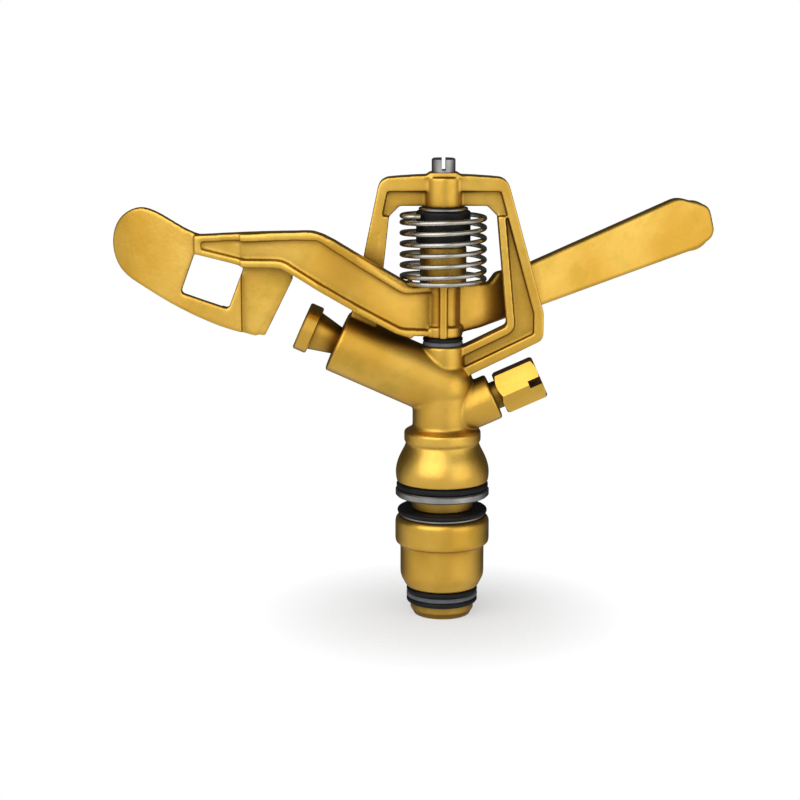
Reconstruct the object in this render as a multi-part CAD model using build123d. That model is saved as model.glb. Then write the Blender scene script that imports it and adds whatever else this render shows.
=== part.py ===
from build123d import *
from math import cos, radians, sin, sqrt, tan
import os

# Impulse sprinkler. Millimetres, +Z up along the bearing axis. The origin lies on that axis at the
# underside of the nipple's collar, where the sprinkler stands on its riser. The main nozzle points
# to -X, the spreader nozzle to +X, and the bridge lies in the XZ plane.

# Fits and small shared values
running_gap = 0.08
seat_gap = 0.1
loose_gap = 0.3
edge_break = 0.4

# Bearing nipple, fixed on the riser
nipple_radius = 13.2
nipple_land = 10.5
nipple_tip_radius = 11.2
nipple_tip_height = 3.8
collar_radius = 14.8
collar_height = 8.9
collar_bevel = 1.1

# Bearing tube and its flange
tube_radius = 6.6
tube_bore = 5.2
flange_radius = 9.9
flange_tip_radius = 8.8
flange_height = 3.8
tube_thread_length = 8.5

# Washers below the nipple, from the nipple down
lower_washer_radius = 11.2
lower_rubber_height = 1.9
lower_slip_height = 1.3
lower_seal_height = 1.8

# Washers and ring between collar and bell, from the collar up
collar_washer_radius = 13.4
collar_washer_height = 0.8
collar_rubber_radius = 14.1
collar_rubber_height = 1.4
spacer_radius = 9.6
spacer_height = 4.2
dust_washer_radius = 14.7
dust_washer_height = 2.3
dust_ring_radius = 14.4
dust_ring_bore = 11.4
dust_ring_height = 2.2

# Bell of the casting
bell_radius = 14.6
bell_rim_radius = 14.3
bell_height = 12.6
bell_shoulder_radius = 11.3
bell_cavity_radius = 12.2
bell_cavity_height = 9.0
bead_radius = 12.0
bead_height = 3.4
bead_round = 0.5
neck_round = 1.2
neck_radius = 9.4

# Bearing spring
bearing_wire = 0.8
bearing_coil_radius = 9.3
bearing_turns = 3
thrust_washer_height = 1.0
gasket_height = 1.2

# Main nozzle arm of the casting
nozzle_angle = 24.0
nozzle_axis_height = 49.7
barrel_radius = 9.7
barrel_length = 35.9
barrel_thread_radius = 6.4
barrel_thread_length = 13.0
waterway_radius = 5.2
throat_radius = 4.6

# Main nozzle
nozzle_head_radius = 7.6
nozzle_head_height = 4.3
nozzle_reach = 47.8
nozzle_waist_radius = 4.4
nozzle_collar_radius = 6.1
jet_radius = 2.5

# Spreader boss and nozzle
spreader_angle = 24.0
spreader_axis_height = 39.7
spreader_boss_radius = 7.3
spreader_boss_length = 17.5
spreader_thread_radius = 3.9
spreader_thread_length = 8.0
spreader_neck_radius = 4.4
spreader_neck_height = 2.0
spreader_hex = 12.4
spreader_hex_length = 13.5
spreader_bore = 1.8
spreader_slot = 2.4
spreader_slot_depth = 4.0

# Bridge, its outline seen from the front
bridge_top = 115.0
bridge_top_half_width = 19.4
bridge_bar_height = 8.8
bridge_rim = 3.0
bridge_bar_rim = 4.2
bridge_inner_rim = 2.4
bridge_depth = 7.4
bridge_web_depth = 4.2
leg_right_reach = 31.0
leg_right_height = 73.5
strut_corner_height = 65.0
strut_depth = 8.8
strut_slope = 26.0
leg_right_inner_top = 16.2
leg_right_inner_low = 19.7
leg_left_reach = 28.3
leg_left_height = 72.6
leg_left_inner_top = 16.3
leg_left_inner_low = 20.8
pin_boss_radius = 7.0
pin_boss_height = 63.0
top_boss_radius = 6.0

# Fulcrum pin
pin_radius = 3.1
pin_head_radius = 3.65
pin_head_height = 5.7
pin_slot = 1.2
pin_slot_depth = 3.6
pin_seat_depth = 9.0

# Washers below and cap above the arm's hub
hub_washer_radius = 6.2
hub_washer_height = 1.3
cap_radius = 8.4
cap_height = 9.8
cap_wall = 1.4
cap_washer_radius = 7.6
cap_washer_height = 0.9

# Arm hub
hub_radius = 5.0
hub_flange_radius = 6.1
hub_flange_height = 3.4
hub_height = 16.2
hub_collar_radius = 7.2
hub_collar_height = 12.0
hub_rib_width = 2.2
hub_rib_reach = 7.0
bush_radius = 4.3
bush_length = 6.0
bush_flange_height = 0.8

# Arm, its course seen from above and its outline seen from the front
arm_yaw = 21.0
arm_web = 3.0
arm_flange_width = 5.6
arm_flange_height = 2.0
branch_rise_start = 11.5
branch_rise = 32.0
branch_top_reach = 38.5
branch_top_height = 99.6
tail_reach = 89.5
tail_thickness = 4.0
tail_bevel = 0.7
spoon_thickness = 3.4
spoon_bevel = 1.0
wedge_thickness = 2.6

# Arm spring
spring_wire = 0.75
spring_radius = 12.7
spring_turns = 7

# Heights that follow from the sizes above
collar_washer_bottom = collar_height
collar_rubber_bottom = collar_washer_bottom + collar_washer_height
spacer_bottom = collar_rubber_bottom + collar_rubber_height
dust_washer_bottom = spacer_bottom + spacer_height
dust_ring_bottom = dust_washer_bottom + dust_washer_height
bell_bottom = dust_ring_bottom + dust_ring_height + seat_gap
bell_roof = bell_bottom + bell_cavity_height
bell_top = bell_bottom + bell_height
bead_top = bell_top + bead_height
thrust_washer_bottom = bell_roof - thrust_washer_height
lower_rubber_bottom = -nipple_land - nipple_tip_height - lower_rubber_height
lower_slip_bottom = lower_rubber_bottom - lower_slip_height
lower_seal_bottom = lower_slip_bottom - lower_seal_height
flange_top = lower_seal_bottom - seat_gap
flange_bottom = flange_top - flange_height
tube_top = bell_roof + tube_thread_length
hub_washer_bottom = pin_boss_height
hub_rubber_bottom = hub_washer_bottom + hub_washer_height
hub_bottom = hub_rubber_bottom + hub_washer_height + seat_gap
hub_top = hub_bottom + hub_height
hub_collar_top = hub_top + hub_collar_height
cap_bottom = hub_collar_top + bush_flange_height + loose_gap
cap_top = cap_bottom + cap_height
bar_bottom = bridge_top - bridge_bar_height
top_boss_bottom = cap_top + cap_washer_height
tail_direction = (cos(radians(arm_yaw)), sin(radians(arm_yaw)))

nozzle_plane = Plane(
    origin=(0, 0, nozzle_axis_height),
    x_dir=(0, 1, 0),
    z_dir=(-cos(radians(nozzle_angle)), 0, sin(radians(nozzle_angle))),
)
spreader_plane = Plane(
    origin=(0, 0, spreader_axis_height),
    x_dir=(0, 1, 0),
    z_dir=(cos(radians(spreader_angle)), 0, sin(radians(spreader_angle))),
)
upward = (Align.CENTER, Align.CENTER, Align.MIN)


def turned(*profile):
    """A solid of revolution about Z from (radius, height) corners."""
    return revolve(Plane.XZ * make_face(Polyline(*profile, close=True)), Axis.Z)


def disc(radius, bottom, height):
    """A plain round disc or bar about Z."""
    return Pos(0, 0, bottom) * Cylinder(radius, height, align=upward)


def washer(radius, bore, bottom, height):
    """A flat ring about Z with both outer edges lightly broken."""
    bevel = min(edge_break, height / 4)
    body = chamfer(disc(radius, bottom, height).edges(), bevel)
    return body - disc(bore, bottom, height)


def rounded_ring(radius, bore, bottom, height):
    """A rubber ring about Z with a rounded outer face."""
    body = fillet(disc(radius, bottom, height).edges(), height * 0.45)
    return body - disc(bore, bottom, height)


def front_slab(face, depth, centre=0.0):
    """A face drawn in the XZ plane, thickened to both sides of Y = centre."""
    return Pos(0, centre, 0) * extrude(Plane.XZ * face, depth / 2, both=True)


def rounded_outline(points, radii):
    """A closed outline with a given round at each corner."""
    turned_points = points[-1:] + points[:-1]
    turned_radii = radii[-1:] + radii[:-1]
    return make_face(FilletPolyline(*turned_points, radius=turned_radii, close=True))


def coil(radius, wire, bottom, top, turns):
    """A helical spring whose wire centre climbs from bottom to top."""
    path = Pos(0, 0, bottom) * Helix((top - bottom) / turns, top - bottom, radius)
    section = Plane(origin=path @ 0, z_dir=path % 0) * Circle(wire)
    return sweep(section, path)


# Pieces fixed to the riser

def bearing_nipple():
    """Barrel and collar with the bearing bore."""
    tip = -nipple_land - nipple_tip_height
    body = turned(
        (0, tip),
        (nipple_tip_radius, tip),
        (nipple_radius, -nipple_land),
        (nipple_radius, 0),
        (collar_radius, 0),
        (collar_radius, collar_height),
        (0, collar_height),
    )
    shoulder = body.edges().filter_by(GeomType.CIRCLE).group_by(Axis.Z)[1]
    body = fillet(shoulder, nipple_tip_height)
    rim = body.edges().filter_by(GeomType.CIRCLE).filter_by(lambda edge: edge.radius > nipple_radius + edge_break)
    body = chamfer(rim.group_by(Axis.Z)[-1], collar_bevel)
    body = chamfer(
        body.edges().filter_by(GeomType.CIRCLE).filter_by(lambda edge: edge.radius > nipple_radius + edge_break)
        .group_by(Axis.Z)[0],
        edge_break,
    )
    return body - disc(tube_radius + running_gap, tip, collar_height - tip)


def spacer_ring():
    """Brass ring that leaves the open gap above the collar."""
    return washer(spacer_radius, tube_radius + running_gap, spacer_bottom, spacer_height)


def bearing_spring():
    """Spring inside the bell, between the dust washer and the thrust washer."""
    bottom = dust_ring_bottom + bearing_wire + seat_gap
    top = thrust_washer_bottom - bearing_wire - seat_gap
    return coil(bearing_coil_radius, bearing_wire, bottom, top, bearing_turns)


# Turning head

def bearing_tube():
    """Tube from the bottom flange up into the casting's thread."""
    return turned(
        (tube_bore, flange_bottom),
        (flange_tip_radius, flange_bottom),
        (flange_radius, flange_bottom + flange_height / 2),
        (flange_radius, flange_top),
        (tube_radius, flange_top),
        (tube_radius, tube_top),
        (tube_bore, tube_top),
    )


def bell():
    """Bell, bead and neck of the casting, turned about the bearing axis."""
    profile = (
        Line((0, bell_bottom), (bell_rim_radius, bell_bottom))
        + Spline(
            (bell_rim_radius, bell_bottom),
            (bell_radius, bell_bottom + bell_height * 0.3),
            (bell_shoulder_radius + (bell_radius - bell_shoulder_radius) * 0.55, bell_bottom + bell_height * 0.68),
            (bell_shoulder_radius, bell_top),
            tangents=((0.2, 1), (-0.3, 1)),
        )
        + FilletPolyline(
            (bell_shoulder_radius, bell_top),
            (bead_radius, bell_top),
            (bead_radius, bead_top),
            (neck_radius, bead_top + (bead_radius - neck_radius) / 2),
            (neck_radius, nozzle_axis_height),
            radius=[bead_round, bead_round, neck_round],
        )
        + Polyline((neck_radius, nozzle_axis_height), (0, nozzle_axis_height), (0, bell_bottom))
    )
    return revolve(Plane.XZ * make_face(profile), Axis.Z)


def bridge_outline():
    """Outer outline of the bridge, seen from the front."""
    strut_low_x = neck_radius * 0.7
    strut_low_z = strut_corner_height - (leg_right_reach - strut_low_x) * tan(radians(strut_slope))
    points = [
        (strut_low_x, strut_low_z),
        (leg_right_reach, strut_corner_height),
        (leg_right_reach, leg_right_height),
        (bridge_top_half_width, bridge_top),
        (-bridge_top_half_width, bridge_top),
        (-leg_left_reach, leg_left_height),
        (-leg_left_reach * 0.6, leg_left_height - leg_left_reach * 0.4 * tan(radians(nozzle_angle)) - bridge_rim),
    ]
    return rounded_outline(points, [0, 3.0, 4.5, 4.0, 4.0, 0, 0])


def bridge_window():
    """Open window of the bridge, seen from the front."""
    strut_top_slope = tan(radians(strut_slope))
    strut_top_z = strut_corner_height + strut_depth / cos(radians(strut_slope))
    right_low_z = strut_top_z - (leg_right_reach - leg_right_inner_low) * strut_top_slope
    floor_x = pin_boss_radius * 0.8
    floor_z = strut_top_z - (leg_right_reach - floor_x) * strut_top_slope
    left_low_z = nozzle_axis_height + leg_left_inner_low * tan(radians(nozzle_angle))
    points = [
        (floor_x, floor_z),
        (leg_right_inner_low, right_low_z),
        (leg_right_inner_top, bar_bottom),
        (-leg_left_inner_top, bar_bottom),
        (-leg_left_inner_low, left_low_z + neck_radius * 0.6),
        (-leg_left_inner_low, left_low_z - bridge_rim),
        (0, floor_z - bridge_rim),
    ]
    return rounded_outline(points, [0, 1.5, 1.6, 1.6, 0, 0, 0])


def bridge():
    """Bridge over the arm: a recessed web with raised rims on its outer and inner edges."""
    outer = bridge_outline()
    window = bridge_window()
    frame = outer - window
    outer_rim = frame - offset(outer, -bridge_rim)
    bar_rim = frame & (Pos(0, bridge_top - bridge_bar_rim / 2) * Rectangle(4 * bridge_top_half_width, bridge_bar_rim))
    inner_rim = frame & offset(window, bridge_inner_rim)
    inner_rim -= Pos(0, bridge_top) * Rectangle(4 * bridge_top_half_width, 2 * bridge_bar_height + 2 * bridge_rim)
    body = front_slab(frame, bridge_web_depth)
    body += front_slab(outer_rim, bridge_depth)
    body += front_slab(bar_rim, bridge_depth)
    body += front_slab(inner_rim, bridge_depth)
    return body


def body_casting():
    """Brass casting: bell, neck, main nozzle arm, spreader boss, pin bosses and bridge."""
    barrel = nozzle_plane * Cylinder(barrel_radius, barrel_length, align=upward)
    boss = spreader_plane * Cylinder(spreader_boss_radius, spreader_boss_length, align=upward)
    barrel = chamfer(barrel.faces().sort_by(Axis.X)[0].edges(), edge_break)
    boss = chamfer(boss.faces().sort_by(Axis.X)[-1].edges(), edge_break)
    body = bell() + barrel + boss
    body += Pos(0, 0, nozzle_axis_height) * Sphere(barrel_radius)
    boss_root = nozzle_axis_height
    body += disc(pin_boss_radius, boss_root, pin_boss_height - boss_root)
    body += bridge()
    body += disc(top_boss_radius, top_boss_bottom, bridge_top - top_boss_bottom)
    body -= disc(bell_cavity_radius, bell_bottom, bell_cavity_height)
    body -= disc(tube_radius, bell_roof, tube_thread_length + gasket_height)
    body -= disc(waterway_radius, bell_roof, nozzle_axis_height - bell_roof)
    body -= Pos(0, 0, nozzle_axis_height) * Sphere(waterway_radius)
    body -= nozzle_plane * Cylinder(throat_radius, barrel_length, align=upward)
    thread = Cylinder(barrel_thread_radius, barrel_thread_length, align=upward)
    body -= nozzle_plane * Pos(0, 0, barrel_length - barrel_thread_length) * thread
    body -= spreader_plane * Cylinder(spreader_bore, spreader_boss_length, align=upward)
    socket = Cylinder(spreader_thread_radius, spreader_thread_length, align=upward)
    body -= spreader_plane * Pos(0, 0, spreader_boss_length - spreader_thread_length) * socket
    body -= disc(pin_radius, pin_boss_height - pin_seat_depth + 1, pin_seat_depth)
    body -= disc(pin_radius, top_boss_bottom - 1, bridge_top - top_boss_bottom + 2)
    return body


def main_nozzle():
    """Range nozzle: threaded shank, conical waist and round head with a tapering bore."""
    shank_start = barrel_length - barrel_thread_length + loose_gap
    head_start = nozzle_reach - nozzle_head_height
    body = turned(
        (0, shank_start),
        (barrel_thread_radius, shank_start),
        (barrel_thread_radius, barrel_length),
        (nozzle_waist_radius, barrel_length),
        (nozzle_collar_radius, head_start),
        (nozzle_head_radius, head_start),
        (nozzle_head_radius, nozzle_reach),
        (0, nozzle_reach),
    )
    head_edges = body.edges().filter_by(GeomType.CIRCLE).filter_by(lambda edge: edge.radius > nozzle_head_radius - 0.01)
    body = chamfer(head_edges, edge_break)
    bore = turned(
        (0, shank_start),
        (throat_radius, shank_start),
        (jet_radius, nozzle_reach - nozzle_head_height),
        (jet_radius, nozzle_reach),
        (0, nozzle_reach),
    )
    return nozzle_plane * (body - bore)


def spreader_nozzle():
    """Hexagonal spreader nozzle with a fan slot across its end."""
    hex_start = spreader_boss_length + spreader_neck_height
    reach = hex_start + spreader_hex_length
    hexagon = RegularPolygon(spreader_hex / 2, 6, major_radius=False, rotation=0)
    body = Pos(0, 0, hex_start) * extrude(hexagon, spreader_hex_length)
    round_off = turned(
        (0, hex_start),
        (spreader_hex / 2, hex_start),
        (spreader_hex / sqrt(3), hex_start + edge_break * 2),
        (spreader_hex / sqrt(3), reach - edge_break * 2),
        (spreader_hex / 2, reach),
        (0, reach),
    )
    body = body & round_off
    body += disc(spreader_neck_radius, spreader_boss_length, spreader_neck_height)
    shank_start = spreader_boss_length - spreader_thread_length + loose_gap
    body += disc(spreader_thread_radius, shank_start, spreader_boss_length - shank_start)
    body -= disc(spreader_bore, shank_start, reach - shank_start)
    body -= Pos(0, 0, reach) * Box(2 * spreader_hex, spreader_slot, 2 * spreader_slot_depth)
    return spreader_plane * body


def fulcrum_pin():
    """Steel pin that the arm swings on, with a slotted head above the bridge."""
    bottom = pin_boss_height - pin_seat_depth + 1
    body = disc(pin_radius, bottom, bridge_top - bottom)
    head = disc(pin_head_radius, bridge_top, pin_head_height)
    head = chamfer(head.edges().group_by(Axis.Z)[-1], edge_break)
    body += head
    body -= Pos(0, 0, bridge_top + pin_head_height) * Box(pin_slot, 4 * pin_head_radius, 2 * pin_slot_depth)
    return body


def spring_cap():
    """Black sleeve round the pin between the arm's hub and the bridge."""
    body = disc(cap_radius, cap_bottom, cap_height)
    body = fillet(body.edges().group_by(Axis.Z)[-1], cap_wall * 0.6)
    body -= disc(cap_radius - cap_wall, cap_bottom, cap_height - 2 * cap_wall)
    core = disc(pin_radius + cap_wall, cap_bottom, cap_height)
    return body + core - disc(pin_radius + seat_gap, cap_bottom, cap_height)


def arm_spring():
    """Torsion spring that brings the arm back into the jet."""
    bottom = hub_top + spring_wire + loose_gap
    top = cap_top - spring_wire * 2
    return coil(spring_radius, spring_wire, bottom, top, spring_turns)


# Swinging arm

def course_slab(points, thickness, tangents=None):
    """An upright slab that follows a course drawn in plan."""
    line = Spline(*points, tangents=tangents) if len(points) > 2 else Line(*points)
    return extrude(trace(line, line_width=thickness), 2 * bridge_top)


def branch_course(thickness):
    """Course of the branch: past the bridge leg, then back into the line of the jet."""
    straight = branch_top_reach * 0.68
    points = [
        (0, 0),
        (-straight, -straight * tan(radians(arm_yaw))),
        (-branch_top_reach, -straight * tan(radians(arm_yaw)) * 1.04),
        (-52, -6.0),
        (-64, -3.8),
        (-80, -3.4),
        (-92, -0.6),
        (-106, 7.4),
    ]
    return course_slab(points, thickness, tangents=((-tail_direction[0], -tail_direction[1]), (-0.8, 0.6)))


def branch_outline():
    """Branch from the hub up to the spoon, seen from the front."""
    return rounded_outline(
        [
            (0, hub_top),
            (-branch_rise_start, hub_top),
            (-branch_top_reach, branch_top_height),
            (-76.0, 97.6),
            (-76.0, 91.9),
            (-61.0, 88.2),
            (-49.5, 88.4),
            (-13.5, 67.2),
            (0, hub_bottom),
        ],
        [0, 4.0, 8.0, 0, 0, 3.0, 6.0, 8.0, 0],
    )


def spoon_outline():
    """Spoon head, lower bar and wedge, seen from the front, with the window left open."""
    upper = Spline(
        (-74.0, 97.7),
        (-80.5, 100.5),
        (-86.5, 103.9),
        (-92.6, 105.7),
        (-98.7, 103.0),
        (-102.0, 95.0),
        (-99.2, 86.4),
        (-93.2, 82.0),
        (-84.1, 76.8),
        (-71.9, 70.9),
        (-57.5, 66.4),
        tangents=((-1, 0.25), (1, -0.25)),
    )
    rest = Polyline((-57.5, 66.4), (-46.2, 86.0), (-49.0, 92.0), (-74.0, 97.7))
    window = rounded_outline(
        [(-76.1, 92.1), (-61.1, 88.0), (-66.0, 74.9), (-80.6, 79.9)],
        [1.0, 1.0, 1.0, 1.0],
    )
    return make_face(upper + rest) - window


def tail_outline():
    """Tail paddle seen square on, along its own course from the hub."""
    return rounded_outline(
        [
            (0, hub_top),
            (spring_radius + 2.5, hub_top),
            (spring_radius + 5.0, 85.0),
            (27.0, 86.6),
            (81.0, 106.4),
            (92.5, 103.2),
            (95.0, 93.6),
            (88.5, 89.6),
            (12.0, 67.8),
            (0, hub_bottom),
        ],
        [0, 1.5, 2.0, 4.0, 7.0, 4.0, 4.0, 4.0, 4.0, 0],
    )


def drive_arm():
    """Brass arm in one casting: hub, branch, spoon with its window and wedge, and tail."""
    branch = branch_outline()
    rims = branch - offset(branch, -arm_flange_height)
    slim = branch_course(arm_web)
    wide = branch_course(arm_flange_width)
    body = front_slab(branch, 2 * tail_reach) & slim
    body += front_slab(rims, 2 * tail_reach) & wide
    spoon = spoon_outline()
    wedge_line = -62.0
    head = spoon & (Pos(wedge_line - 60, 90) * Rectangle(120, 120))
    wedge = spoon & (Pos(wedge_line - 6 + 60, 60) * Rectangle(120, 57))
    body += front_slab(head, 2 * tail_reach) & branch_course(spoon_thickness)
    body += front_slab(wedge, 2 * tail_reach) & course_slab([(-45, -5.6), (-70, -1.6)], wedge_thickness)
    tail = front_slab(tail_outline(), tail_thickness)
    tail_faces = tail.faces().filter_by(Axis.Y)
    tail = chamfer([edge for face in tail_faces for edge in face.edges()], tail_bevel)
    body += Rot(0, 0, arm_yaw) * tail
    body += disc(hub_radius, hub_bottom, hub_height)
    body += disc(hub_flange_radius, hub_bottom, hub_flange_height)
    body += disc(hub_collar_radius, hub_top, hub_collar_height)
    rib = Box(hub_rib_width, hub_rib_reach, hub_height, align=(Align.CENTER, Align.MAX, Align.MIN))
    body += Pos(0, 0, hub_bottom) * rib
    body -= disc(pin_radius + loose_gap, hub_bottom, hub_collar_top - hub_bottom)
    body -= disc(bush_radius, hub_bottom, bush_length)
    body -= disc(bush_radius, hub_collar_top - bush_length, bush_length)
    return body


def arm_bush_lower():
    """Bush pressed into the bottom of the hub."""
    return disc(bush_radius, hub_bottom, bush_length) - disc(pin_radius + running_gap, hub_bottom, bush_length)


def arm_bush_upper():
    """Flanged bush pressed into the top of the hub."""
    body = disc(bush_radius, hub_collar_top - bush_length, bush_length)
    body += disc(hub_collar_radius - edge_break, hub_collar_top, bush_flange_height)
    return body - disc(pin_radius + running_gap, hub_collar_top - bush_length, bush_length + bush_flange_height)


washer_bore = tube_radius + running_gap
parts = {
    "bearing_nipple": bearing_nipple(),
    "lower_rubber_washer": rounded_ring(lower_washer_radius, washer_bore, lower_rubber_bottom, lower_rubber_height),
    "lower_slip_washer": washer(lower_washer_radius, washer_bore, lower_slip_bottom, lower_slip_height),
    "lower_seal_washer": rounded_ring(lower_washer_radius, washer_bore, lower_seal_bottom, lower_seal_height),
    "collar_steel_washer": washer(collar_washer_radius, washer_bore, collar_washer_bottom, collar_washer_height),
    "collar_rubber_washer": rounded_ring(collar_rubber_radius, washer_bore, collar_rubber_bottom, collar_rubber_height),
    "spacer_ring": spacer_ring(),
    "dust_steel_washer": washer(dust_washer_radius, washer_bore, dust_washer_bottom, dust_washer_height),
    "dust_rubber_ring": rounded_ring(dust_ring_radius, dust_ring_bore, dust_ring_bottom, dust_ring_height),
    "bearing_spring": bearing_spring(),
    "body_casting": body_casting(),
    "bearing_tube": bearing_tube(),
    "thrust_washer": washer(bell_cavity_radius - loose_gap, washer_bore, thrust_washer_bottom, thrust_washer_height),
    "tube_gasket": washer(tube_radius, tube_bore, tube_top, gasket_height),
    "main_nozzle": main_nozzle(),
    "spreader_nozzle": spreader_nozzle(),
    "fulcrum_pin": fulcrum_pin(),
    "hub_steel_washer": washer(hub_washer_radius, pin_radius + running_gap, hub_washer_bottom, hub_washer_height),
    "hub_rubber_washer": washer(hub_washer_radius, pin_radius + running_gap, hub_rubber_bottom, hub_washer_height),
    "spring_cap": spring_cap(),
    "cap_washer": washer(cap_washer_radius, pin_radius + running_gap, cap_top, cap_washer_height),
    "arm_spring": arm_spring(),
    "drive_arm": drive_arm(),
    "arm_bush_lower": arm_bush_lower(),
    "arm_bush_upper": arm_bush_upper(),
}

os.makedirs("parts", exist_ok=True)
for name, part in parts.items():
    export_step(part, f"parts/{name}.step")
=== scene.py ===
import logging
from dataclasses import dataclass
from enum import Enum
from math import cos, radians, sin, tan, tau
from typing import Any, Optional, Sequence, Union

import bmesh
import bpy
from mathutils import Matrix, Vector


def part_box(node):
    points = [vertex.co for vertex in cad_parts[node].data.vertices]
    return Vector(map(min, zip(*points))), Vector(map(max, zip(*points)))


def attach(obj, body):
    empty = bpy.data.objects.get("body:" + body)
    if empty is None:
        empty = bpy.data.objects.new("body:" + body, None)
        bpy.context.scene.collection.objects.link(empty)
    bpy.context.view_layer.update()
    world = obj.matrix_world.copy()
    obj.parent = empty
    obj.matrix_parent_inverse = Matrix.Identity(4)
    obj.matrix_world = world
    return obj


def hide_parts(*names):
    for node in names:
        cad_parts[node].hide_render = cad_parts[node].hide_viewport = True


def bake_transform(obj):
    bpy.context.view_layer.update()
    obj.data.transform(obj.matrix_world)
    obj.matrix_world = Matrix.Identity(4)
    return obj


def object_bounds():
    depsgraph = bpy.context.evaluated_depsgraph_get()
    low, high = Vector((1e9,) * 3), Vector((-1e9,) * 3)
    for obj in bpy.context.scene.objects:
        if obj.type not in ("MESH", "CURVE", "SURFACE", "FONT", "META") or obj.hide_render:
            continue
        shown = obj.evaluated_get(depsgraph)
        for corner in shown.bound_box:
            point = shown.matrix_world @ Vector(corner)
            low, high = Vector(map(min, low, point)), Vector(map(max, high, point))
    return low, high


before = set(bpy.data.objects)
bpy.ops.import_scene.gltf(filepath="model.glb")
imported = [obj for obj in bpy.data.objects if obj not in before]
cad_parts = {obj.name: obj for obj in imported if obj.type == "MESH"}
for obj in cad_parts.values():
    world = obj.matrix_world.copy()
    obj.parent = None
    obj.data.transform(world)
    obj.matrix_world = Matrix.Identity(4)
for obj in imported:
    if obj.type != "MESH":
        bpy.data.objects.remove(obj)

MILLIMETRE = 0.001
CAD_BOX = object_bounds()
LOG = logging.getLogger("sprinkler")

Span = tuple[float, float]
Point = tuple[float, float, float]
Colour = tuple[float, float, float]
Outline = tuple[tuple[float, float], ...]
Amount = Union["Shade", float]
Sockets = dict[Union[str, int], Any]


class Body(Enum):
    """The three bodies that move against each other."""

    BASE = "base"
    HEAD = "head"
    ARM = "arm"


class Shade:
    """One socket of a node tree, with Python's operators standing for Math nodes."""

    def __init__(self, desk: "ShaderDesk", socket: bpy.types.NodeSocket) -> None:
        """Keeps the socket and the desk that its nodes are made on."""
        self.desk = desk
        self.socket = socket

    def _maths(self, operation: str, first: Amount, second: Amount) -> "Shade":
        """Adds one Math node.

        Args:
            operation: The Math node's operation.
            first: The value or shade of its first socket.
            second: The value or shade of its second socket.

        Returns:
            The node's result as a shade.
        """
        return self.desk.node("ShaderNodeMath", {"operation": operation}, {0: first, 1: second})

    def __add__(self, other: Amount) -> "Shade":
        """self + other."""
        return self._maths("ADD", self, other)

    def __radd__(self, other: float) -> "Shade":
        """other + self."""
        return self._maths("ADD", other, self)

    def __sub__(self, other: Amount) -> "Shade":
        """self - other."""
        return self._maths("SUBTRACT", self, other)

    def __rsub__(self, other: float) -> "Shade":
        """other - self."""
        return self._maths("SUBTRACT", other, self)

    def __mul__(self, other: Amount) -> "Shade":
        """self * other."""
        return self._maths("MULTIPLY", self, other)

    def __rmul__(self, other: float) -> "Shade":
        """other * self."""
        return self._maths("MULTIPLY", other, self)

    def within(self, span: Span) -> "Shade":
        """Goes from 0 at the span's first value to 1 at its second, and stays between them.

        Args:
            span: The values that give 0 and 1. The first may be the higher one.

        Returns:
            The limited shade.
        """
        inputs = {"Value": self, "From Min": span[0], "From Max": span[1]}
        return self.desk.node("ShaderNodeMapRange", {"clamp": True}, inputs)


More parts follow.
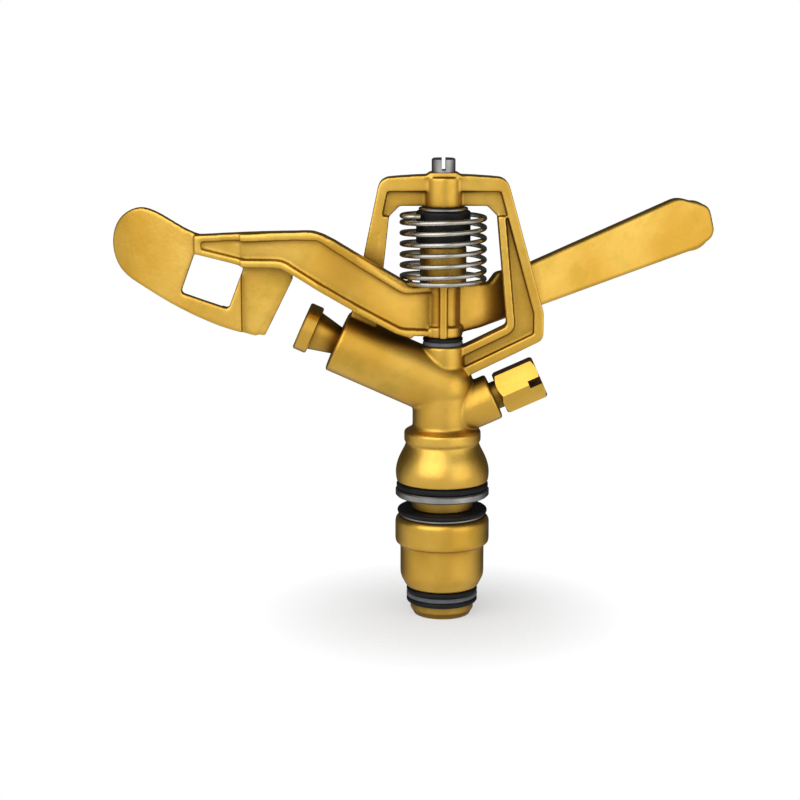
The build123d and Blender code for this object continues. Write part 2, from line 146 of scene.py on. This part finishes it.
class ShaderDesk:
    """Makes the nodes of one material or of the world."""

    MIX_FIRST = 6
    MIX_SECOND = 7
    MIX_RESULT = 2

    def __init__(self, tree: bpy.types.NodeTree) -> None:
        """Clears the tree, to begin from nothing."""
        self.tree = tree
        tree.nodes.clear()

    def node(
        self,
        kind: str,
        settings: Optional[dict[str, Any]] = None,
        inputs: Optional[Sockets] = None,
        output: Union[str, int] = 0,
    ) -> Shade:
        """Adds a node, sets it up and fills its sockets.

        Args:
            kind: The node's type.
            settings: The node's properties.
            inputs: Values or shades by socket name or number.
            output: The name or number of the socket that is returned.

        Returns:
            The chosen output as a shade, or the input of an output node, which has nothing else.
        """
        made = self.tree.nodes.new(kind)
        for key, value in (settings or {}).items():
            setattr(made, key, value)
        for key, value in (inputs or {}).items():
            if isinstance(value, Shade):
                self.tree.links.new(value.socket, made.inputs[key])
            else:
                made.inputs[key].default_value = value
        sockets = made.outputs if made.outputs else made.inputs
        return Shade(self, sockets[output])

    def blend(self, share: Amount, first: Union[Shade, Colour], second: Union[Shade, Colour]) -> Shade:
        """Mixes two colours.

        Args:
            share: How much of the second colour, from 0 to 1.
            first: The first colour or shade.
            second: The second colour or shade.

        Returns:
            The mixed colour.
        """
        inputs = {0: share, self.MIX_FIRST: with_alpha(first), self.MIX_SECOND: with_alpha(second)}
        return self.node("ShaderNodeMix", {"data_type": "RGBA"}, inputs, self.MIX_RESULT)

    def place(self) -> Shade:
        """The point of the surface in the object's own metres."""
        return self.node("ShaderNodeTexCoord", output="Object")

    def noise(
        self,
        scale: float,
        detail: float = 3.0,
        roughness: float = 0.5,
        at: Optional[Shade] = None,
    ) -> Shade:
        """Soft random variation.

        Args:
            scale: Cells per metre.
            detail: Octaves of finer noise.
            roughness: Share of the finer octaves.
            at: The coordinates, or the object's own.

        Returns:
            A value around 0.5.
        """
        inputs = {"Vector": at or self.place(), "Scale": scale, "Detail": detail, "Roughness": roughness}
        return self.node("ShaderNodeTexNoise", {}, inputs)

    def unevenness(self, noise: Shade, height: float) -> Shade:
        """What a noise adds to a value: height is the whole swing, half of it up and half down."""
        return (noise - 0.5) * height

    def stretched(self, scale: Point) -> Shade:
        """The object's coordinates scaled unevenly, for tool marks."""
        inputs = {"Vector": self.place(), "Scale": scale}
        return self.node("ShaderNodeMapping", {"vector_type": "POINT"}, inputs)

    def bump(self, height: Shade, depth: float, normal: Optional[Shade] = None) -> Shade:
        """A bumped normal.

        Args:
            height: The height, from 0 to 1.
            depth: The height's full depth in metres.
            normal: A normal to add to.

        Returns:
            The new normal.
        """
        inputs: Sockets = {"Height": height, "Distance": depth, "Strength": 1.0}
        if normal is not None:
            inputs["Normal"] = normal
        return self.node("ShaderNodeBump", {}, inputs)


def with_alpha(value: Union[Shade, Colour]) -> Union[Shade, tuple[float, ...]]:
    """Adds alpha to a plain colour and leaves a shade alone."""
    return (*value, 1.0) if isinstance(value, tuple) else value


@dataclass(frozen=True)
class Finish:
    """What every finish shares: a name and a way to make its material once."""

    name: str

    def material(self) -> bpy.types.Material:
        """Makes the finish's material when it is first asked for.

        Returns:
            The material.
        """
        made = bpy.data.materials.get(self.name)
        if made is None:
            made = bpy.data.materials.new(self.name)
            made.use_nodes = True
            desk = ShaderDesk(made.node_tree)
            surface = desk.node("ShaderNodeBsdfPrincipled", {}, self.sockets(desk))
            desk.node("ShaderNodeOutputMaterial", {}, {"Surface": surface})
        return made

    def sockets(self, desk: ShaderDesk) -> Sockets:
        """The values and links of the surface shader. Each finish has its own."""
        raise NotImplementedError


@dataclass(frozen=True)
class Brass(Finish):
    """Brass with a drift of colour, olive patches, tarnish and painted shade in hollows and corners, bright
    edges and tool marks.

    Scales are in cells per metre, depths and reaches in metres.
    """

    light: Colour = (0.80, 0.505, 0.10)
    deep: Colour = (0.66, 0.37, 0.05)
    olive: Colour = (0.48, 0.33, 0.035)
    # Near-black colour: tarnish in creases and painted shade in occluded corners.
    tarnish_and_shade: Colour = (0.12, 0.055, 0.008)
    roughness: float = 0.36
    drift_scale: float = 45.0
    drift_span: Span = (0.35, 0.65)
    patch_scale: float = 110.0
    patch_span: Span = (0.52, 0.72)
    patch_share: float = 0.45
    # The hollow fields darken concave creases: partly tarnish, partly painted shade.
    hollow_span: Span = (0.49, 0.41)
    hollow_share: float = 0.6
    # The corner fields darken occluded corners in the base colour as painted shade, and roughen them.
    corner_reach: float = 0.007
    corner_samples: int = 6
    painted_shade_span: Span = (0.99, 0.52)
    painted_shade_share: float = 0.9
    corner_roughness: float = 0.15
    edge_span: Span = (0.51, 0.60)
    edge_share: float = 0.30
    edge_polish: float = 0.06
    grain_scale: float = 900.0
    grain_depth: float = 0.00004
    grain_roughness: float = 0.16
    marks: Optional[Point] = None
    mark_depth: float = 0.000012
    mark_roughness: float = 0.14

    def sockets(self, desk: ShaderDesk) -> Sockets:
        """Cast, turned or milled brass.

        Args:
            desk: The material's desk.

        Returns:
            The surface shader's sockets.
        """
        drift = desk.noise(self.drift_scale).within(self.drift_span)
        patches = desk.noise(self.patch_scale, detail=4.0, roughness=0.6).within(self.patch_span)
        grain = desk.noise(self.grain_scale, detail=4.0, roughness=0.6)
        bend = desk.node("ShaderNodeNewGeometry", output="Pointiness")
        edge = bend.within(self.edge_span)
        hollow = bend.within(self.hollow_span)
        reach = {"Distance": self.corner_reach}
        # Ambient occlusion marks occluded corners, which are darkened below as painted shade.
        openness = desk.node("ShaderNodeAmbientOcclusion", {"samples": self.corner_samples}, reach, "AO")
        corner = openness.within(self.painted_shade_span)
        colour = desk.blend(drift, self.light, self.deep)
        colour = desk.blend(patches * self.patch_share, colour, self.olive)
        # Concave creases darkened: partly tarnish, partly painted shade.
        colour = desk.blend(hollow * self.hollow_share, colour, self.tarnish_and_shade)
        # Painted shade: occluded corners darkened toward the near-black colour.
        colour = desk.blend(corner * self.painted_shade_share, colour, self.tarnish_and_shade)
        colour = desk.blend(edge * self.edge_share, colour, self.light)
        rough = self.roughness + desk.unevenness(grain, self.grain_roughness)
        rough = rough + corner * self.corner_roughness - edge * self.edge_polish
        normal = desk.bump(grain, self.grain_depth)
        if self.marks is not None:
            strokes = desk.noise(1.0, detail=2.0, roughness=0.7, at=desk.stretched(self.marks))
            rough = rough + desk.unevenness(strokes, self.mark_roughness)
            normal = desk.bump(strokes, self.mark_depth, normal)
        return {"Base Color": colour, "Metallic": 1.0, "Roughness": rough, "Normal": normal}


@dataclass(frozen=True)
class Steel(Finish):
    """Plain or drawn steel with fine marks."""

    light: Colour
    deep: Colour
    roughness: float
    drift_scale: float = 120.0
    drift_span: Span = (0.3, 0.7)
    streak_scale: float = 1500.0
    streak_depth: float = 0.00001
    streak_roughness: float = 0.2

    def sockets(self, desk: ShaderDesk) -> Sockets:
        """Steel with drawn streaks.

        Args:
            desk: The material's desk.

        Returns:
            The surface shader's sockets.
        """
        streak = desk.noise(self.streak_scale, detail=2.0, roughness=0.6)
        drift = desk.noise(self.drift_scale).within(self.drift_span)
        colour = desk.blend(drift, self.light, self.deep)
        rough = self.roughness + desk.unevenness(streak, self.streak_roughness)
        normal = desk.bump(streak, self.streak_depth)
        return {"Base Color": colour, "Metallic": 1.0, "Roughness": rough, "Normal": normal}


@dataclass(frozen=True)
class Rubber(Finish):
    """Moulded rubber or plastic, with a faint bloom and moulding grain."""

    light: Colour
    deep: Colour
    roughness: float
    gloss: float = 0.22
    bloom_scale: float = 160.0
    bloom_span: Span = (0.4, 0.75)
    bloom_roughness: float = 0.3
    grit_scale: float = 2500.0
    grit_depth: float = 0.00002

    def sockets(self, desk: ShaderDesk) -> Sockets:
        """Rubber with a dusty bloom.

        Args:
            desk: The material's desk.

        Returns:
            The surface shader's sockets.
        """
        bloom = desk.noise(self.bloom_scale, detail=4.0, roughness=0.6)
        grit = desk.noise(self.grit_scale, detail=2.0)
        colour = desk.blend(bloom.within(self.bloom_span), self.deep, self.light)
        rough = self.roughness + desk.unevenness(bloom, self.bloom_roughness)
        normal = desk.bump(grit, self.grit_depth)
        return {"Base Color": colour, "Roughness": rough, "Specular IOR Level": self.gloss, "Normal": normal}


CAST_BRASS = Brass("cast brass")
TURNED_BRASS = Brass(
    "turned brass", roughness=0.34, grain_depth=0.000005, grain_scale=1300.0, marks=(9.0, 9.0, 1800.0)
)
MILLED_BRASS = Brass(
    "milled brass", roughness=0.32, grain_depth=0.000005, grain_scale=1300.0, marks=(420.0, 30.0, 190.0)
)
PLAIN_STEEL = Steel("plain steel", (0.40, 0.40, 0.39), (0.22, 0.22, 0.21), roughness=0.34)
SPRING_WIRE = Steel("spring wire", (0.58, 0.56, 0.50), (0.34, 0.33, 0.30), roughness=0.26)
BLACK_RUBBER = Rubber("black rubber", (0.012, 0.012, 0.013), (0.004, 0.004, 0.0045), roughness=0.55)
GREY_PLASTIC = Rubber("grey plastic", (0.16, 0.17, 0.18), (0.09, 0.10, 0.11), roughness=0.42)
BLACK_PLASTIC = Rubber("black plastic", (0.008, 0.008, 0.009), (0.003, 0.003, 0.0035), roughness=0.4)
BUSH_PLASTIC = Rubber("bush plastic", (0.72, 0.70, 0.62), (0.62, 0.60, 0.52), roughness=0.4)


class CastForm:
    """A form that is cast in one with a piece, in millimetres."""

    def rings(self) -> list[list[Point]]:
        """The form's corners, as rings from one end to the other. Each form has its own."""
        raise NotImplementedError

    def add_to(self, mesh: bmesh.types.BMesh) -> None:
        """Adds the form to a mesh as one closed block.

        Args:
            mesh: The mesh, in metres.
        """
        rings = [[mesh.verts.new(Vector(corner) * MILLIMETRE) for corner in ring] for ring in self.rings()]
        mesh.faces.new(rings[0])
        mesh.faces.new(reversed(rings[-1]))
        for ring, following in zip(rings, rings[1:]):
            for index, corner in enumerate(ring):
                after = (index + 1) % len(ring)
                mesh.faces.new((ring[after], corner, following[index], following[after]))


@dataclass(frozen=True)
class Filling(CastForm):
    """A flat form, drawn as seen from the front.

    It stands on a line drawn in plan, at Y = offset + slope * X, and is depth thick along Y.
    """

    outline: Outline
    depth: float
    offset: float = 0.0
    slope: float = 0.0

    def rings(self) -> list[list[Point]]:
        """The outline in front and the same outline behind."""
        faces = (-self.depth / 2, self.depth / 2)
        return [[(x, self.offset + self.slope * x + face, z) for x, z in self.outline] for face in faces]


@dataclass(frozen=True)
class Rim(CastForm):
    """A raised rim: its upper line seen from the front, and the course that it follows in plan."""

    upper: Outline
    course: Outline
    width: float
    height: float

    def _middle(self, x: float) -> float:
        """Where the course runs at X.

        Args:
            x: The place along X.

        Returns:
            The course's Y there, and beyond its end the Y of its end.
        """
        for (start, start_y), (end, end_y) in zip(self.course, self.course[1:]):
            if end <= x <= start:
                return start_y + (end_y - start_y) * (x - start) / (end - start)
        return self.course[-1][1]

    def rings(self) -> list[list[Point]]:
        """The rim's square section at each point of its upper line.

        Returns:
            Four corners for each point.
        """
        half = self.width / 2
        sections = []
        for x, top in self.upper:
            front, back = self._middle(x) - half, self._middle(x) + half
            foot = top - self.height
            sections.append([(x, front, top), (x, back, top), (x, back, foot), (x, front, foot)])
        return sections


@dataclass(frozen=True)
class Rounding:
    """How the edges of a piece are rounded, the way a sand casting is. The cell is in millimetres."""

    cell: float
    passes: int
    pull: float = 0.5

    def apply(self, piece: bpy.types.Object) -> None:
        """Adds the modifiers that mesh a piece anew and smooth it.

        Args:
            piece: The piece or CAD node.
        """
        grid = piece.modifiers.new("casting grid", "REMESH")
        grid.mode = "VOXEL"
        grid.voxel_size = self.cell * MILLIMETRE
        grid.use_smooth_shade = True
        smooth = piece.modifiers.new("casting rounds", "SMOOTH")
        smooth.factor = self.pull
        smooth.iterations = self.passes


def round_outline(x: float, z: float, radius: float, squeeze: float, steps: int = 40) -> Outline:
    """A round outline.

    Args:
        x: Its middle along X.
        z: Its middle's height.
        radius: Its radius.
        squeeze: Its width as a share of its height.
        steps: The number of its corners.

    Returns:
        The (x, z) corners.
    """
    angles = [tau * step / steps for step in range(steps)]
    return tuple((x + radius * squeeze * cos(angle), z + radius * sin(angle)) for angle in angles)


def place_in_scene(name: str, mesh: bpy.types.Mesh) -> bpy.types.Object:
    """Makes an object of a mesh.

    Args:
        name: The object's name.
        mesh: Its mesh.

    Returns:
        The object, linked to the scene.
    """
    piece = bpy.data.objects.new(name, mesh)
    bpy.context.scene.collection.objects.link(piece)
    return piece


def copy_of(node: bpy.types.Object, name: str, forms: Sequence[CastForm]) -> bpy.types.Object:
    """A new piece with a CAD node's mesh and the forms cast in one with it.

    Args:
        node: The CAD node.
        name: The new piece's name.
        forms: The forms to add.

    Returns:
        The piece, in the node's place.
    """
    draft = bmesh.new()
    draft.from_mesh(node.data)
    draft.transform(node.matrix_world)
    for form in forms:
        form.add_to(draft)
    bmesh.ops.recalc_face_normals(draft, faces=draft.faces)
    mesh = bpy.data.meshes.new(name)
    draft.to_mesh(mesh)
    draft.free()
    return place_in_scene(name, mesh)


def dress(piece: bpy.types.Object, finish: Finish) -> None:
    """Gives a piece one finish in place of what it had."""
    piece.data.materials.clear()
    piece.data.materials.append(finish.material())


@dataclass
class SubAssembly:
    """What every group of pieces shares. The sizes of a group are in millimetres and degrees."""

    body: Body

    def build(self) -> None:
        """Makes the group's new pieces, if it has any."""

    def dress(self) -> None:
        """Dresses the CAD nodes of the group that stay as they are, if it has any."""

    def keep(self, finish: Finish, *nodes: str) -> None:
        """Gives one finish to CAD nodes that stay as they are.

        Args:
            finish: Their finish.
            nodes: Their names.
        """
        for node in nodes:
            dress(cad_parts[node], finish)
            LOG.info("%s keeps its shape, finish %s", node, finish.name)

    def cast(self, node: str, slot: str, forms: Sequence[CastForm], rounding: Rounding) -> None:
        """Makes the cast surface of a CAD node: the node's own form with more forms, all edges rounded.

        Args:
            node: The CAD node.
            slot: Not used.
            forms: What is cast in one with it.
            rounding: How its edges are rounded.
        """
        piece = copy_of(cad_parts[node], node + "_cast", forms)
        dress(piece, CAST_BRASS)
        rounding.apply(piece)
        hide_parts(node)
        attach(piece, self.body.value)
        LOG.info("%s cast with %d forms, finish %s", node, len(forms), CAST_BRASS.name)


@dataclass
class InletBearing(SubAssembly):
    """The nipple and everything stacked on it, which stands still on the riser."""

    body: Body = Body.BASE
    rounding: Rounding = Rounding(cell=0.4, passes=24)

    def build(self) -> None:
        """Rounds the nipple's edges."""
        self.rounding.apply(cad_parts["bearing_nipple"])

    def dress(self) -> None:
        """Dresses the nipple, the stack of washers and the spring inside the bell."""
        self.keep(TURNED_BRASS, "bearing_nipple", "spacer_ring")
        self.keep(BLACK_RUBBER, "lower_rubber_washer", "lower_seal_washer", "collar_rubber_washer")
        self.keep(BLACK_RUBBER, "dust_rubber_ring")
        self.keep(PLAIN_STEEL, "collar_steel_washer", "dust_steel_washer")
        self.keep(GREY_PLASTIC, "lower_slip_washer")
        self.keep(SPRING_WIRE, "bearing_spring")


@dataclass(frozen=True)
class LegLevel:
    """How far a leg of the bridge reaches from the axis at one height."""

    height: float
    inner: float
    outer: float


@dataclass
class TurningHead(SubAssembly):
    """The casting with its bridge, and its tube, nozzles, pin, cap and washers."""

    body: Body = Body.HEAD
    rounding: Rounding = Rounding(cell=0.33, passes=10)
    bar_top: float = 115.0
    bar_low: float = 106.3
    bridge_depth: float = 7.2
    web_depth: float = 4.0
    crown_reach: float = 16.5
    crown_rise: float = 0.8
    crown_root: float = 2.0
    crown_steps: int = 16
    foot_rise: float = 0.7
    foot_top_radius: float = 4.2
    foot_low_radius: float = 6.0
    corner_reach: float = 16.9
    corner_size: float = 3.6
    left_leg_top: LegLevel = LegLevel(height=97.0, inner=18.6, outer=23.2)
    left_leg_foot: LegLevel = LegLevel(height=69.8, inner=22.1, outer=28.6)

    def build(self) -> None:
        """Makes the casting."""
        self.cast("body_casting", "brass_casting", self.bridge_forms(), self.rounding)

    def dress(self) -> None:
        """Dresses what is screwed in or slipped on."""
        self.keep(TURNED_BRASS, "bearing_tube")
        self.keep(MILLED_BRASS, "main_nozzle", "spreader_nozzle")
        self.keep(PLAIN_STEEL, "fulcrum_pin", "cap_washer")
        self.keep(BLACK_PLASTIC, "spring_cap")
        self.keep(BLACK_RUBBER, "hub_rubber_washer", "tube_gasket")
        self.keep(GREY_PLASTIC, "hub_steel_washer", "thrust_washer")

    def bridge_forms(self) -> list[CastForm]:
        """What is cast in one with the bridge.

        Returns:
            The bar's crown, the pin's foot on it, the closed left leg and the window's upper corners.
        """
        return [
            Filling(self._crown(), self.bridge_depth),
            Filling(self._pin_foot(), 2 * self.foot_top_radius),
            Filling(self._closed_leg(), self.bridge_depth),
            Filling(self._window_corner(-1.0), self.web_depth),
            Filling(self._window_corner(1.0), self.web_depth),
        ]

    def _crown(self) -> Outline:
        """The flat arch along the top of the bar.

        Returns:
            Its outline, from right to left along the arch and back underneath.
        """
        reach, root = self.crown_reach, self.bar_top - self.crown_root
        along = [reach * (1.0 - 2.0 * step / self.crown_steps) for step in range(self.crown_steps + 1)]
        arch = tuple((x, self.bar_top + self.crown_rise * (1.0 - (x / reach) ** 2)) for x in along)
        return arch + ((-reach, root), (reach, root))

    def _pin_foot(self) -> Outline:
        """The tapered foot in which the pin stands on the bar.

        Returns:
            Its outline, wider at the bar.
        """
        top, low = self.foot_top_radius, self.foot_low_radius
        height = self.bar_top + self.crown_rise + self.foot_rise
        return ((-top, height), (top, height), (low, self.bar_top), (-low, self.bar_top))

    def _closed_leg(self) -> Outline:
        """The left leg between its inner and its outer edge, where the photograph shows no slit.

        Returns:
            Its outline, from the bridge's bar down to its foot.
        """
        top, foot = self.left_leg_top, self.left_leg_foot
        upper = ((-top.inner, top.height), (-top.outer, top.height))
        return upper + ((-foot.outer, foot.height), (-foot.inner, foot.height))

    def _window_corner(self, side: float) -> Outline:
        """The bevel in one upper corner of the bridge's window.

        Args:
            side: -1 at the left leg and 1 at the right one.

        Returns:
            Its outline, a triangle under the bar.
        """
        reach = side * self.corner_reach
        inner = side * (self.corner_reach - self.corner_size)
        return ((reach, self.bar_low), (reach, self.bar_low - self.corner_size), (inner, self.bar_low))


@dataclass
class TorsionSpring(SubAssembly):
    """The arm spring: closed end turns, open turns between them, and a straight hook at each end."""

    body: Body = Body.HEAD
    wire_radius: float = 0.75
    coil_radius: float = 12.75
    end_gap: float = 0.05
    turns: float = 7.0
    closed_turns: float = 0.8
    closed_pitch: float = 1.04
    mean_rise: float = 3.0
    top_angle: float = 205.0
    top_hook: float = 4.6
    low_hook: float = 3.2
    hook_start: float = 0.4
    hook_along: float = 0.6
    hook_inward: float = 0.8
    steps_round: int = 48
    sides: int = 14

    def build(self) -> None:
        """Makes the wire and puts it in place of the CAD spring."""
        low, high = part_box("arm_spring")
        bottom = low.z / MILLIMETRE + self.wire_radius + self.end_gap
        top = high.z / MILLIMETRE - self.wire_radius - self.end_gap
        piece = self._wire("wound_arm_spring", self._course(bottom, top))
        dress(piece, SPRING_WIRE)
        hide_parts("arm_spring")
        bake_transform(piece)
        LOG.info("arm spring wound with %.1f turns, finish %s", self.turns, SPRING_WIRE.name)

    def _course(self, bottom: float, top: float) -> list[Vector]:
        """The middle line of the wire.

        Args:
            bottom: Height of its lowest turn.
            top: Height of its highest turn.

        Returns:
            The points from the lower hook to the upper one.
        """
        last = radians(self.top_angle)
        first = last - self.turns * tau
        coil = []
        for step in range(int(self.turns * self.steps_round) + 1):
            turn = step / self.steps_round
            angle = first + turn * tau
            height = bottom + (top - bottom) * self._climb(turn)
            coil.append(Vector((self.coil_radius * cos(angle), self.coil_radius * sin(angle), height)))
        low_hook = self._hook(first, -1.0) * self.low_hook
        top_hook = self._hook(last, 1.0) * self.top_hook
        lower = [coil[0] + low_hook, coil[0] + low_hook * self.hook_start]
        upper = [coil[-1] + top_hook * self.hook_start, coil[-1] + top_hook]
        return lower + coil + upper

    def _hook(self, angle: float, way: float) -> Vector:
        """The direction in which a hook leaves the coil, along the wire and inwards.

        Args:
            angle: Where on the coil it leaves, in radians.
            way: 1 to go on anticlockwise and -1 to go on clockwise.

        Returns:
            The direction, of length 1.
        """
        inward = Vector((-cos(angle), -sin(angle), 0.0))
        along = Vector((-sin(angle), cos(angle), 0.0)) * way
        return (along * self.hook_along + inward * self.hook_inward).normalized()

    def _climb(self, turn: float) -> float:
        """Share of the height reached after so many turns: slow in the closed end turns.

        Args:
            turn: Turns from the bottom.

        Returns:
            The share, from 0 to 1.
        """
        closed = self.closed_turns
        pitch = 2 * self.wire_radius * self.closed_pitch / (self.turns * self.mean_rise)
        opened = (turn - closed) / (self.turns - 2 * closed)
        ends = (min(turn, closed) + max(turn - self.turns + closed, 0.0)) * pitch
        return ends + min(max(opened, 0.0), 1.0) * (1.0 - 2 * closed * pitch)

    def _wire(self, name: str, course: list[Vector]) -> bpy.types.Object:
        """A round wire along a course, closed at both ends.

        Args:
            name: The piece's name.
            course: Its middle line.

        Returns:
            The wire, in the scene.
        """
        points = []
        for index, point in enumerate(course):
            ahead = course[min(index + 1, len(course) - 1)] - course[max(index - 1, 0)]
            side = ahead.cross(Vector((0.0, 0.0, 1.0))).normalized()
            up = side.cross(ahead).normalized()
            for corner in range(self.sides):
                angle = tau * corner / self.sides
                offset = (side * cos(angle) + up * sin(angle)) * self.wire_radius
                points.append((point + offset) * MILLIMETRE)
        faces = []
        for start in range(0, len(points) - self.sides, self.sides):
            for corner in range(self.sides):
                here, beside = start + corner, start + (corner + 1) % self.sides
                faces.append((here, beside, beside + self.sides, here + self.sides))
        faces.append(tuple(reversed(range(self.sides))))
        faces.append(tuple(range(len(points) - self.sides, len(points))))
        mesh = bpy.data.meshes.new(name)
        mesh.from_pydata(points, [], faces)
        mesh.shade_smooth()
        return place_in_scene(name, mesh)


@dataclass
class SwingingArm(SubAssembly):
    """The arm with its two bushes: the branch to the spoon goes left and the tail goes right.

    The rims' upper lines and the wedge's edge are (x, z) points seen from the front. The branch's course
    is a row of (x, y) points seen from above, from the hub to the spoon.
    """

    body: Body = Body.ARM
    rounding: Rounding = Rounding(cell=0.33, passes=14)
    tail_yaw: float = 21.0
    tail_reach: float = 86.0
    tail_height: float = 96.95
    tail_round: float = 8.2
    tail_depth: float = 3.2
    wedge_depth: float = 2.4
    wedge_offset: float = -12.8
    wedge_slope: float = -0.16
    wedge_edge: Outline = ((-60.0, 67.4), (-54.9, 66.6), (-46.0, 84.5), (-46.6, 88.0), (-52.0, 88.0))
    rim_width: float = 6.4
    rim_height: float = 2.2
    top_rim: Outline = (
        (-9.5, 82.2), (-14.2, 85.0), (-26.2, 92.5), (-33.0, 96.7), (-36.5, 98.5), (-38.5, 99.1),
        (-45.0, 99.0), (-52.0, 98.5), (-62.0, 97.9),
    )
    low_rim: Outline = (
        (-9.5, 67.9), (-14.5, 69.9), (-26.2, 76.8), (-38.5, 84.0), (-45.0, 87.8), (-49.5, 90.1),
        (-52.0, 90.3), (-62.0, 90.1),
    )
    branch_course: Outline = (
        (0.0, 0.0), (-26.2, -10.05), (-32.0, -10.8), (-38.5, -10.45), (-45.0, -8.6), (-52.0, -6.0),
        (-64.0, -3.8),
    )

    def build(self) -> None:
        """Makes the casting."""
        self.cast("drive_arm", "brass_casting", self.arm_forms(), self.rounding)

    def dress(self) -> None:
        """Dresses the bushes in the hub."""
        self.keep(BUSH_PLASTIC, "arm_bush_lower", "arm_bush_upper")

    def arm_forms(self) -> list[CastForm]:
        """What is cast in one with the arm.

        Returns:
            The round tail end, the wedge's open edge and the two rims of the branch.
        """
        yaw = radians(self.tail_yaw)
        tail_end = round_outline(self.tail_reach * cos(yaw), self.tail_height, self.tail_round, cos(yaw))
        return [
            Filling(tail_end, self.tail_depth, 0.0, tan(yaw)),
            Filling(self.wedge_edge, self.wedge_depth, self.wedge_offset, self.wedge_slope),
            Rim(self.top_rim, self.branch_course, self.rim_width, self.rim_height),
            Rim(self.low_rim, self.branch_course, self.rim_width, self.rim_height),
        ]


@dataclass(frozen=True)
class SoftBox:
    """A square lamp with a soft light: its place and its side in metres, its power in watts."""

    name: str
    place: Point
    size: float
    power: float

    def hang(self, aim: Vector) -> None:
        """Hangs the lamp in the scene.

        Args:
            aim: The point that it looks at, in metres.
        """
        light = bpy.data.lights.new(self.name, "AREA")
        light.size = self.size
        light.energy = self.power
        lamp = bpy.data.objects.new(self.name, light)
        lamp.location = self.place
        lamp.rotation_euler = (aim - Vector(self.place)).to_track_quat("-Z", "Y").to_euler()
        bpy.context.scene.collection.objects.link(lamp)


@dataclass
class Studio:
    """Floor, light and camera.

    The photograph's size is in pixels and its scale in pixels per millimetre. The aim, the lens and the
    sensor are in millimetres, and the floor and the lamps in metres.
    """

    photo_size: float = 800.0
    photo_scale: float = 3.2
    sensor: float = 36.0
    lens: float = 85.0
    elevation: float = 11.0
    aim: Point = (-13.3, 0.0, 45.5)
    near_limit: float = 0.01
    key: SoftBox = SoftBox("key", (-0.45, -0.70, 0.60), 1.20, 6.0)
    fill: SoftBox = SoftBox("fill", (0.65, -0.60, 0.20), 0.80, 1.4)
    floor_size: float = 0.5
    floor_solid: float = 0.015
    floor_fade: float = 0.062
    floor_share: float = 0.6
    floor_dark: Colour = (0.93, 0.93, 0.93)
    floor_light: Colour = (0.96, 0.96, 0.96)
    floor_grain: float = 300.0
    floor_roughness: float = 0.9
    front_level: float = 0.74
    back_level: float = 0.05
    sky_back: float = 0.8
    sky_up: float = 0.6
    sky_span: Span = (0.42, -0.20)

    def build(self) -> None:
        """Makes the floor, the lamps, the world and the camera."""
        self.floor()
        for lamp in (self.key, self.fill):
            lamp.hang(Vector(self.aim) * MILLIMETRE)
        self.world()
        self.camera()

    def floor(self) -> None:
        """A pale floor under the sprinkler that keeps its shadow and fades to the white background."""
        mesh = bpy.data.meshes.new("floor")
        half, low = self.floor_size / 2, CAD_BOX[0].z
        corners = [(-half, -half, low), (half, -half, low), (half, half, low), (-half, half, low)]
        mesh.from_pydata(corners, [], [(0, 1, 2, 3)])
        paint = bpy.data.materials.new("pale floor")
        paint.use_nodes = True
        desk = ShaderDesk(paint.node_tree)
        colour = desk.blend(desk.noise(self.floor_grain), self.floor_dark, self.floor_light)
        reach = desk.node("ShaderNodeVectorMath", {"operation": "LENGTH"}, {0: desk.place()}, "Value")
        shown = reach.within((self.floor_fade, self.floor_solid)) * self.floor_share
        inputs = {"Base Color": colour, "Roughness": self.floor_roughness, "Alpha": shown}
        matt = desk.node("ShaderNodeBsdfPrincipled", {}, inputs)
        desk.node("ShaderNodeOutputMaterial", {}, {"Surface": matt})
        mesh.materials.append(paint)
        floor = place_in_scene("floor", mesh)

    def world(self) -> None:
        """A white background for the camera, and a sky that is light in front and dark behind and above."""
        world = bpy.data.worlds.new("studio")
        world.use_nodes = True
        bpy.context.scene.world = world
        desk = ShaderDesk(world.node_tree)
        seen = desk.node("ShaderNodeLightPath", output="Is Camera Ray")
        ray = desk.node("ShaderNodeTexCoord", output="Generated")
        back = desk.node("ShaderNodeSeparateXYZ", {}, {0: ray}, "Y")
        up = desk.node("ShaderNodeSeparateXYZ", {}, {0: ray}, "Z")
        front = (back * self.sky_back + up * self.sky_up).within(self.sky_span)
        around = front * (self.front_level - self.back_level) + self.back_level
        level = around + seen * (1.0 - around)
        sky = desk.node("ShaderNodeBackground", {}, {"Color": (1.0, 1.0, 1.0, 1.0), "Strength": level})
        desk.node("ShaderNodeOutputWorld", {}, {"Surface": sky})

    def camera(self) -> None:
        """The photograph's view: a little above the sprinkler, square on to the bridge."""
        distance = self.photo_size / self.sensor * self.lens / self.photo_scale
        data = bpy.data.cameras.new("camera")
        data.lens = self.lens
        data.sensor_width = self.sensor
        data.clip_start = self.near_limit
        camera = bpy.data.objects.new("camera", data)
        tilt = radians(self.elevation)
        back = Vector((0.0, -cos(tilt), sin(tilt)))
        camera.location = (Vector(self.aim) + back * distance) * MILLIMETRE
        camera.rotation_euler = (-back).to_track_quat("-Z", "Y").to_euler()
        bpy.context.scene.collection.objects.link(camera)
        bpy.context.scene.camera = camera
        bpy.context.scene.view_settings.view_transform = "Standard"


def main() -> None:
    """Builds and dresses the sprinkler's sub-assemblies in order, then sets up the studio."""
    logging.basicConfig(level=logging.INFO, format="%(name)s: %(message)s")
    for assembly in (InletBearing(), TurningHead(), TorsionSpring(), SwingingArm()):
        assembly.build()
        assembly.dress()
    Studio().build()


if __name__ == "__main__":
    main()
